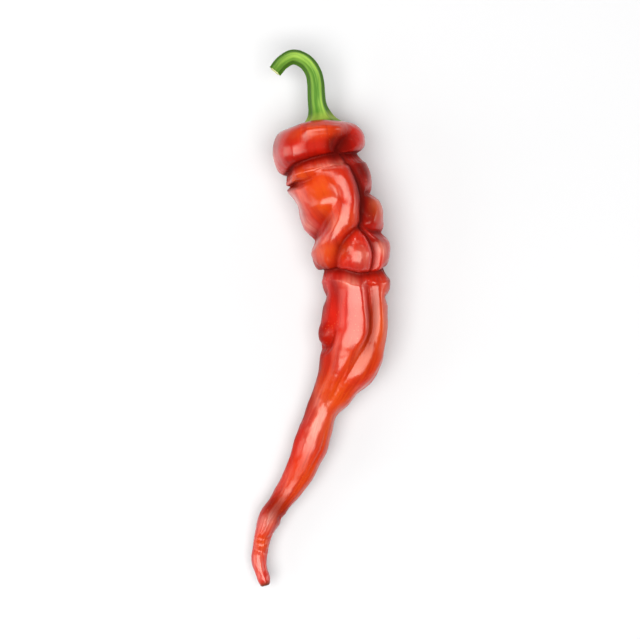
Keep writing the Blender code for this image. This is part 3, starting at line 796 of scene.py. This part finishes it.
# Painted highlights: pale pink patches, broken up by the streaks.
bloom = product(tree, read_attribute(tree, "bloom"), spread(tree, middle, 0.0, 0.8, 1.0, 0.3))
colour = layer_colours(tree, SCARLET, (
    # Its patches of deeper red, partly painted shade, and of orange.
    (calculate(tree, "MINIMUM", crimson, 0.9), CRIMSON),
    (spread(tree, crimson, 0.8, 1.5, 0.0, 0.8), SHADE_MAROON),
    (orange, ORANGE_RED),
    # Its streaks and flecks, and the painted highlights over them.
    (spread(tree, middle, 0.55, 1.0, 0.0, 0.35), CRIMSON),
    (spread(tree, hairline, 0.70, 1.0, 0.0, 0.30), CRIMSON),
    (fleck, PALE_FLECK),
    (bloom, HIGHLIGHT_PINK),
    # Painted shade in its folds, crimson and then maroon in the deepest, and its two ends.
    (spread(tree, fold, 0.15, 0.75, 0.0, 0.7), CRIMSON),
    (spread(tree, fold, 0.5, 1.0), SHADE_MAROON),
    (read_attribute(tree, "crown"), CROWN_GREEN),
    (read_attribute(tree, "tip"), TIP_BROWN),
))

# The wax is uneven, and thin in the folds, on the dull patches and on the crimson patches that carry painted
# shade.
haze = even_noise(tree, place, 90.0, 4.0)
rough = spread(tree, haze, 0.3, 0.7, 0.34, 0.46)
wax = product(
    tree,
    spread(tree, haze, 0.3, 0.7, 1.0, 0.8),
    spread(tree, fold, 0.1, 0.6, 0.9, 0.06),
    spread(tree, crimson_and_shade_patch, 0.2, 1.2, 1.0, 0.2),
    spread(tree, read_attribute(tree, "dull"), 0.0, 1.0, 1.0, 0.0),
)
dimples = product(tree, even_noise(tree, place, 1100.0, 2.0), 0.35)
relief = calculate(tree, "ADD", dimples, product(tree, hairline, 0.4))
relief = calculate(tree, "ADD", relief, middle)
fill_sockets(tree, shader, {
    "Base Color": colour,
    "Roughness": calculate(tree, "ADD", rough, spread(tree, fold, 0.2, 1.0, 0.0, 0.2)),
    "Normal": low_relief(tree, relief, 0.2, 0.12 * MM),
    "Coat Weight": wax,
    "Coat Roughness": 0.23,
    "Coat IOR": 1.65,
    "Specular IOR Level": 0.07,
    "Specular Tint": (1.0, 0.7, 0.6, 1.0),
    "Subsurface Weight": 0.08,
    "Subsurface Radius": (1.0, 0.15, 0.06),
    "Subsurface Scale": 1.5 * MM,
})


def push_points(group, geometry, way, lift):
    """Moves each point of a geometry its own way, as far as lift times that vector."""
    sockets = {"Geometry": geometry, "Offset": vector_math(group, "SCALE", way, Scale=lift)}
    return add_node(group, "GeometryNodeSetPosition", sockets).outputs[0]


def finish_tree(group, geometry, finish):
    """Ends a tree: smooth faces, real geometry and the piece's own material."""
    even = add_node(group, "GeometryNodeSetShadeSmooth", {"Geometry": geometry}).outputs[0]
    real = add_node(group, "GeometryNodeRealizeInstances", {"Geometry": even}).outputs[0]
    painted = add_node(group, "GeometryNodeSetMaterial", {"Geometry": real, "Material": finish}).outputs[0]
    add_node(group, "NodeGroupOutput", {0: painted})


def fine_wrinkles():
    """Geometry Nodes: short lengthwise wrinkles where the skin is gathered, and slight dimples."""
    group, given = new_tree(
        "GeometryNodeTree", "fine wrinkles", Geometry=("Geometry",),
        Float=(
            "Wrinkle Depth", "Wrinkle Width", "Wrinkle Length", "Wrinkle Edge", "Dimple Depth",
            "Dimple Width", "Seed",
        ),
        Material=("Skin",),
    )
    grain, gather = (
        add_node(group, "GeometryNodeInputNamedAttribute", {"Name": name}, data_type=kind).outputs[0]
        for name, kind in (("grain", "FLOAT_VECTOR"), ("gather", "FLOAT"))
    )

    def uneven(width, length):
        noise = long_noise(group, grain, given[width], given[length], given["Seed"], Detail=2.0)
        return calculate(group, "SUBTRACT", noise, 0.5)

    apart = calculate(group, "ABSOLUTE", uneven("Wrinkle Width", "Wrinkle Length"))
    line = spread(group, apart, 0.0, given["Wrinkle Edge"], 1.0, 0.0)
    deep = product(group, line, gather, given["Wrinkle Depth"])
    dimple = product(group, uneven("Dimple Width", "Dimple Width"), given["Dimple Depth"])
    normal = add_node(group, "GeometryNodeInputNormal").outputs[0]
    lift = calculate(group, "SUBTRACT", dimple, deep)
    finish_tree(group, push_points(group, given["Geometry"], normal, lift), given["Skin"])
    return group


def run_tree(thing, group, **values):
    """Gives an object a tree's result as its own plain mesh. Values are the tree's named inputs."""
    modifier = thing.modifiers.new(group.name, "NODES")
    modifier.node_group = group
    for socket in group.interface.items_tree:
        name = socket.name.replace(" ", "_")
        if name in values:
            modifier[socket.identifier] = values[name]
    depsgraph = bpy.context.evaluated_depsgraph_get()
    mesh = bpy.data.meshes.new_from_object(
        thing.evaluated_get(depsgraph), preserve_all_data_layers=True, depsgraph=depsgraph
    )
    thing.modifiers.remove(modifier)
    return mesh


plain_pod = link_object("plain pod", pod_mesh)
pod_mesh = run_tree(
    plain_pod, fine_wrinkles(), Wrinkle_Depth=0.18 * MM, Wrinkle_Width=2.4 * MM, Wrinkle_Length=9.0 * MM,
    Wrinkle_Edge=0.09, Dimple_Depth=0.45 * MM, Dimple_Width=5.0 * MM, Seed=5.0, Skin=pod_skin,
)
bpy.data.objects.remove(plain_pod)
for vertex in pod_mesh.vertices:
    vertex.co.z = max(vertex.co.z, 0.0)
pod = link_object("red_pod", pod_mesh)
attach(pod, "root")
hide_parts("pod")


# The calyx and stalk
# The stalk grew in one piece with the calyx, its short six-toothed collar, which lies on the
# crown. Six ribs run up from the teeth, round the stalk's hook and out to its cut end. It is
# fibrous and green, paler at the collar and drier at the cut.

STALK_ROUTE = np.array((
    (-1.2, 88.0, 18.2), (-1.5, 92.0, 18.6), (-1.7, 96.0, 19.1), (-2.8, 100.4, 19.8),
    (-6.2, 104.7, 20.7), (-11.0, 106.3, 21.4), (-15.2, 104.0, 21.9), (-18.2, 100.4, 22.2),
)) * MM
STALK_BASE_RADIUS = 3.4 * MM
STALK_END_RADIUS = 2.5 * MM
# It runs straight from its seat for this far, and stands this far off the crown.
STRAIGHT_START = 5.0 * MM
SEAT_GAP = 0.15 * MM
# The collar: height over its seat, and radius. It starts underneath.
CALYX_UNDER = ((0.0, 0.5), (0.01, 2.0), (0.02, 4.0), (0.03, 6.0), (0.05, 7.4), (0.10, 8.1), (0.3, 8.45))
CALYX_FLARE = np.array((
    (0.6, 8.2), (1.4, 7.4), (2.5, 6.4), (4.1, 5.3), (6.1, 4.4), (8.3, 3.75), (11.0, 3.4),
))
FLARE_RINGS = 36
STALK_RINGS = 100
# The collar's own radius lies this far up a tooth.
TOOTH_MIDDLE = 0.3
# A ray from this high over the collar, of this length, finds the crown underneath.
RAY_START = 20.0 * MM
RAY_LENGTH = 50.0 * MM


def stalk_line(seat, axis):
    """The stalk's middle line from its seat to the cut, and its radius at each point."""
    route = np.vstack((seat, seat + STRAIGHT_START * axis, STALK_ROUTE))
    at = distances(route)
    turned = distances(CALYX_FLARE)
    flare = smooth(CALYX_FLARE, turned, np.linspace(0.0, turned[-1], FLARE_RINGS)) * MM
    height = np.linspace(flare[-1, 0], at[-1], STALK_RINGS)[1:]
    radius = np.interp(height, (flare[-1, 0], at[-1]), (STALK_BASE_RADIUS, STALK_END_RADIUS))
    outline = np.vstack((np.array(CALYX_UNDER) * MM, flare, np.stack((height, radius), axis=1)))
    return smooth(route, at, outline[:, 0]) + SEAT_GAP * axis, outline[:, 1]


def ribbed_stalk():
    """Geometry Nodes: sweeps a ribbed section along the stalk's line and lays the collar down."""
    group, given = new_tree(
        "GeometryNodeTree", "ribbed stalk", Geometry=("Geometry",),
        Int=("Sides", "Ribs", "Teeth"),
        Float=(
            "Rib Depth", "Tooth Length", "Vein Height", "Collar Radius", "Neck Radius", "Ribs From",
            "Ribs Full", "Laid To", "Flare Top", "Fibre Width", "Fibre Length", "Fibre Depth", "Seed",
        ),
        Vector=("Seat", "Axis", "Sun"),
        Object=("Pod",),
        Material=("Skin",),
    )

    def remember(geometry, *fields):
        """A geometry whose points keep these fields, each a kind, a name and a value."""
        node = add_node(group, "GeometryNodeCaptureAttribute", {0: geometry}, domain="POINT")
        for kind, name, _ in fields:
            node.capture_items.new(kind, name)
        fill_sockets(group, node, {name: value for _, name, value in fields})
        return node.outputs

    # The section is swept along the line, and each point remembers its place in both.
    position = add_node(group, "GeometryNodeInputPosition").outputs[0]
    radius = add_node(group, "GeometryNodeInputRadius").outputs[0]
    place = add_node(group, "GeometryNodeSplineParameter").outputs
    line = remember(
        given["Geometry"], ("VECTOR", "Middle", position), ("FLOAT", "Girth", radius),
        ("FLOAT", "Length", place["Length"]),
    )
    circle = add_node(group, "GeometryNodeCurvePrimitiveCircle", {
        "Resolution": given["Sides"], "Radius": 1.0,
    }).outputs[0]
    section = remember(circle, ("FLOAT", "Turn", place["Factor"]))
    swept = add_node(group, "GeometryNodeCurveToMesh", {
        "Curve": line[0], "Profile Curve": section[0], "Scale": line["Girth"], "Fill Caps": True,
    }).outputs[0]

    def up_the_line(low, high):
        """0 up to one place on the line and 1 past the other, with a smooth step."""
        return spread(group, line["Length"], given[low], given[high], interpolation_type="SMOOTHSTEP")

    # Ribs on the stalk, teeth round the collar and a vein up each tooth.
    turn = product(group, section["Turn"], 2.0 * math.pi)
    rib = calculate(group, "COSINE", product(group, turn, given["Ribs"]))
    tooth = calculate(group, "COSINE", product(group, turn, given["Teeth"]))
    tooth = calculate(group, "POWER", spread(group, tooth, -1.0, 1.0), 2.0)
    collar = spread(group, line["Girth"], given["Neck Radius"], given["Collar Radius"])
    above = up_the_line("Ribs From", "Ribs Full")
    fade = product(group, calculate(group, "SUBTRACT", 1.0, collar), above)
    ribbing = product(group, rib, fade, given["Rib Depth"])
    reach = calculate(group, "SUBTRACT", tooth, TOOTH_MIDDLE)
    reach = product(group, reach, given["Tooth Length"], collar)
    outward = vector_math(group, "NORMALIZE", vector_math(group, "SUBTRACT", position, line["Middle"]))
    ribbed = push_points(group, swept, outward, calculate(group, "ADD", ribbing, reach))

    # The collar is laid down on the crown, along the axis.
    high = vector_math(group, "SCALE", given["Axis"], Scale=RAY_START)
    crown = add_node(group, "GeometryNodeObjectInfo", {"Object": given["Pod"]}).outputs["Geometry"]
    ray = add_node(group, "GeometryNodeRaycast", {
        "Target Geometry": crown,
        "Source Position": vector_math(group, "ADD", position, high),
        "Ray Direction": vector_math(group, "SCALE", given["Axis"], Scale=-1.0),
        "Ray Length": RAY_LENGTH,
    }).outputs
    from_seat = vector_math(group, "SUBTRACT", ray["Hit Position"], given["Seat"])
    crown_height = vector_math(group, "DOT_PRODUCT", from_seat, given["Axis"])
    lying = calculate(group, "SUBTRACT", 1.0, up_the_line("Laid To", "Flare Top"))
    laid = product(group, crown_height, lying)
    vein = product(group, tooth, collar, given["Vein Height"], above)
    settle = product(group, calculate(group, "ADD", laid, vein), ray["Is Hit"])
    seated = push_points(group, ribbed, given["Axis"], settle)

    # A fibrous grain along it, and what the material reads.
    around = add_node(group, "ShaderNodeCombineXYZ", {
        0: product(group, calculate(group, "COSINE", turn), given["Neck Radius"]),
        1: product(group, calculate(group, "SINE", turn), given["Neck Radius"]),
        2: line["Length"],
    }).outputs[0]
    fibre = long_noise(
        group, around, given["Fibre Width"], given["Fibre Length"], given["Seed"], Detail=3.0
    )
    fibre = calculate(group, "SUBTRACT", fibre, 0.5)
    normal = add_node(group, "GeometryNodeInputNormal").outputs[0]
    geometry = push_points(group, seated, normal, product(group, fibre, given["Fibre Depth"]))
    # How squarely each point faces the light: the material paints light and shade on the stalk with it.
    sunny = vector_math(group, "DOT_PRODUCT", outward, given["Sun"])
    for name, kind, value in (
        ("grain", "FLOAT_VECTOR", around), ("rib", "FLOAT", rib), ("collar", "FLOAT", collar),
        ("tooth", "FLOAT", tooth), ("along", "FLOAT", line["Length"]), ("sunny", "FLOAT", sunny),
    ):
        geometry = add_node(group, "GeometryNodeStoreNamedAttribute", {
            "Geometry": geometry, "Name": name, "Value": value,
        }, data_type=kind, domain="POINT").outputs[0]
    finish_tree(group, geometry, given["Skin"])
    return group


# Its greens, from the yellowish collar to the dry end, its painted light and painted shade, and the colours
# of the cut.
COLLAR_GREEN = (0.42, 0.52, 0.080)
CALYX_GREEN = (0.14, 0.27, 0.030)
STALK_GREEN = (0.062, 0.185, 0.018)
RIB_AND_LIT_GREEN = (0.30, 0.50, 0.080)
SHADE_GREEN = (0.040, 0.11, 0.010)
END_GREEN = (0.045, 0.125, 0.006)
DRY_BROWN = (0.11, 0.075, 0.032)
CUT_COLOURS = (
    (0.0, (0.20, 0.24, 0.07)),
    (0.35, (0.50, 0.55, 0.27)),
    (0.7, (0.62, 0.60, 0.38)),
    (1.0, (0.34, 0.30, 0.16)),
)
# Its streaks, as on the pod.
FIBRES = (0.5 * MM, 11.0 * MM, 2.0)
BANDS = (1.8 * MM, 26.0 * MM, 8.0)

stalk_skin, tree, shader = new_material("fibrous green stalk")
grain = read_attribute(tree, "grain", "Vector")
fibres = streaks(tree, grain, *FIBRES)
bands = streaks(tree, grain, *BANDS)
crest = calculate(tree, "ADD", read_attribute(tree, "rib"), spread(tree, bands, 0.0, 1.0, -0.6, 0.6))
sunny = calculate(tree, "ADD", read_attribute(tree, "sunny"), spread(tree, bands, 0.0, 1.0, -0.06, 0.06))
along = read_attribute(tree, "along")
collar = read_attribute(tree, "collar")
cut = read_attribute(tree, "cut")
ramp = add_node(tree, "ShaderNodeValToRGB", {0: cut})
stops = ramp.color_ramp.elements
for i, (at, tone) in enumerate(CUT_COLOURS):
    stop = stops[i] if i < len(stops) else stops.new(at)
    stop.position, stop.color = at, (*tone, 1.0)
colour = layer_colours(tree, STALK_GREEN, (
    # The crests of its ribs, painted light where it faces the light, and painted shade on its flanks.
    (spread(tree, crest, -0.2, 1.2, 0.0, 0.45), RIB_AND_LIT_GREEN),
    (spread(tree, sunny, 0.94, 1.01, 0.0, 0.85), RIB_AND_LIT_GREEN),
    (spread(tree, sunny, 0.92, 0.5, 0.0, 0.9), SHADE_GREEN),
    # Its end, its neck and its collar.
    (spread(tree, along, 30.0 * MM, 46.0 * MM, 0.0, 0.85), END_GREEN),
    (spread(tree, along, 7.0 * MM, 1.0 * MM, 0.0, 0.85), COLLAR_GREEN),
    (spread(tree, collar, 0.45, 0.85, 0.0, 0.8), CALYX_GREEN),
    # Its fibres, the dry edges of the teeth, and the cut.
    (spread(tree, fibres, 0.55, 1.0, 0.0, 0.4), END_GREEN),
    (product(tree, spread(tree, collar, 0.93, 1.0), read_attribute(tree, "tooth"), 0.8), DRY_BROWN),
    (spread(tree, cut, 0.0, 0.1), ramp.outputs["Color"]),
))
fill_sockets(tree, shader, {
    "Base Color": colour,
    "Roughness": spread(tree, fibres, 0.0, 1.0, 0.45, 0.65),
    "Normal": low_relief(tree, fibres, 0.5, 0.1 * MM),
    "Specular IOR Level": 0.15,
})

crown_axis = -route_frame(POD_ROUTE, np.zeros(1))[1][0]
crown_middle = np.array(pod_mesh.vertices[0].co)
line_points, line_radius = stalk_line(crown_middle, crown_axis)
stalk_curve = bpy.data.curves.new("stalk line", "CURVE")
stalk_curve.dimensions = "3D"
stalk_curve.twist_mode = "Z_UP"
spline = stalk_curve.splines.new("POLY")
spline.points.add(len(line_points) - 1)
for point, place, radius in zip(spline.points, line_points, line_radius):
    point.co, point.radius = (*place, 1.0), radius
stalk_path = link_object("stalk line", stalk_curve)
# The stalk gets painted light on the side that faces up and a little to the right, and painted shade on its
# flanks.
stalk_mesh = run_tree(
    stalk_path, ribbed_stalk(), Sides=120, Ribs=6, Rib_Depth=0.3 * MM, Teeth=6, Tooth_Length=1.0 * MM,
    Vein_Height=0.25 * MM, Collar_Radius=8.3 * MM, Neck_Radius=3.7 * MM, Ribs_From=0.3 * MM,
    Ribs_Full=1.0 * MM, Laid_To=3.5 * MM, Flare_Top=8.3 * MM, Fibre_Width=0.8 * MM, Fibre_Length=9.0 * MM,
    Fibre_Depth=0.16 * MM, Seed=4.0, Seat=tuple(crown_middle), Axis=tuple(crown_axis), Sun=(0.2, 0.1, 0.975),
    Pod=pod, Skin=stalk_skin,
)
bpy.data.objects.remove(stalk_path)

# The cut: a thin rim of bark round a paler, slightly sunken face, drawn in ring by ring. Each
# ring: its size on the last one, how far it sinks, and its place from the rim, 0, to the middle, 1.
CUT_RINGS = ((0.90, 0.0, 0.2), (0.95, 0.3, 0.35), (0.72, 0.05, 0.6), (0.60, 0.12, 0.85))
work = bmesh.new()
work.from_mesh(stalk_mesh)
cut_layer = work.verts.layers.float.new("cut")
stalk_end = Vector(line_points[-1])
caps = [face for face in work.faces if len(face.verts) > 4]
cut_face = min(caps, key=lambda cap: (cap.calc_center_median() - stalk_end).length)
into = -cut_face.normal.copy()
for size, sink, share in CUT_RINGS:
    cut_face = bmesh.ops.extrude_discrete_faces(work, faces=[cut_face])["faces"][0]
    middle = cut_face.calc_center_median()
    for vertex in cut_face.verts:
        vertex.co = middle + size * (vertex.co - middle) + sink * MM * into
        vertex[cut_layer] = share
for vertex in bmesh.ops.poke(work, faces=[cut_face])["verts"]:
    vertex[cut_layer] = 1.0
work.to_mesh(stalk_mesh)
work.free()

stalk = link_object("green_calyx_and_stalk", stalk_mesh)
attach(stalk, "root")
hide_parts("calyx_and_stalk")
